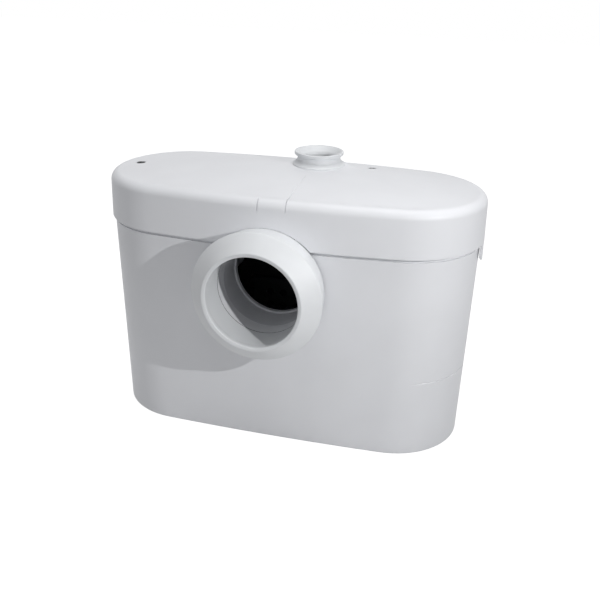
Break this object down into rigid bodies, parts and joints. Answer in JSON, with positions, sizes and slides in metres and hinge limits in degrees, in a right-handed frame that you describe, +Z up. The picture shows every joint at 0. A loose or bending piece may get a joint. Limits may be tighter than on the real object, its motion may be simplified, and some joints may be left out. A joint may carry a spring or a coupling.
{
  "type": "macerator toilet pump",
  "caption": "White oval tank pump with a lift-off domed lid, a front rubber sleeve for a pan outlet, a top discharge collar, and a cutter, pump and flap valve inside.",
  "frame": {"origin": "on the floor, under the middle of the tank's oval", "axes": "+X along the tank to the right seen from the front, +Y to the back, +Z up; the inlet sleeve faces -Y"},
  "size_m": [0.4, 0.2206, 0.2886],
  "materials": {
    "white_abs": "satin moulded ABS",
    "white_rubber": "smooth white rubber",
    "black_rubber": "matt black rubber",
    "dark_plastic": "moulded dark polypropylene",
    "grey_plastic": "moulded grey polypropylene",
    "pale_plastic": "moulded pale grey ABS",
    "red_plastic": "moulded red nylon",
    "steel": "bright steel",
    "core_steel": "stacked steel sheet",
    "motor_metal": "die-cast aluminium",
    "motor_paint": "dark stoved paint",
    "copper": "lacquered copper wire",
    "charcoal": "charcoal felt"
  },
  "bodies": {
    "tank": {"tank_body": "white_abs", "tank_floor": "white_abs", "base_mat": "black_rubber", "rim_seal": "black_rubber", "inlet_sleeve": "white_rubber", "inlet_throat": "white_abs", "tray_posts": "grey_plastic", "cable_grommet": "black_rubber", "basket": "dark_plastic", "basket_floor": "dark_plastic", "pump_casing": "grey_plastic", "pump_cover": "grey_plastic", "shaft_seal": "black_rubber", "pump_screws": "steel", "motor_flange": "motor_metal", "motor_housing": "motor_paint", "rear_cap": "motor_metal", "front_bearing": "steel", "rear_bearing": "steel", "stator_core": "core_steel", "end_windings": "copper", "motor_cradle": "motor_paint", "riser_pipe": "grey_plastic", "riser_clamps": "steel", "valve_body": "grey_plastic", "flap_pin": "steel", "pressure_bell": "grey_plastic", "electrics_tray": "pale_plastic", "tray_screws": "steel", "diaphragm": "black_rubber", "switch_body": "pale_plastic", "plunger_spring": "steel", "micro_switch": "dark_plastic", "capacitor": "motor_metal", "terminal_block": "pale_plastic", "tray_seal": "black_rubber", "tray_cover": "pale_plastic", "cover_screws": "steel"},
    "lid": {"lid_shell": "white_abs", "lid_screws": "steel", "vent_filter": "charcoal", "discharge_collar": "white_rubber"},
    "rotor": {"motor_shaft": "steel", "rotor_core": "core_steel", "impeller": "dark_plastic", "blade": "steel", "blade_nut": "steel"},
    "flap": {"valve_flap": "dark_plastic"},
    "plunger": {"switch_plunger": "red_plastic"}
  },
  "joints": [
    {"name": "lid_lift", "type": "slide", "parent": "tank", "child": "lid", "axis": [0, 0, 1], "range_m": [0, 0.15]},
    {"name": "rotor_spin", "type": "hinge", "parent": "tank", "child": "rotor", "pos_m": [0.0835, 0, 0.066], "axis": [1, 0, 0], "continuous": true},
    {"name": "flap_swing", "type": "hinge", "parent": "tank", "child": "flap", "pos_m": [0.0023, 0.04, 0.2104], "axis": [0, -1, 0], "range_deg": [0, 60]},
    {"name": "plunger_press", "type": "slide", "parent": "tank", "child": "plunger", "axis": [0, 0, 1], "range_m": [0, 0.002], "stiffness_N_per_m": 300, "springref_m": -0.002, "deforming": ["plunger_spring"]}
  ]
}
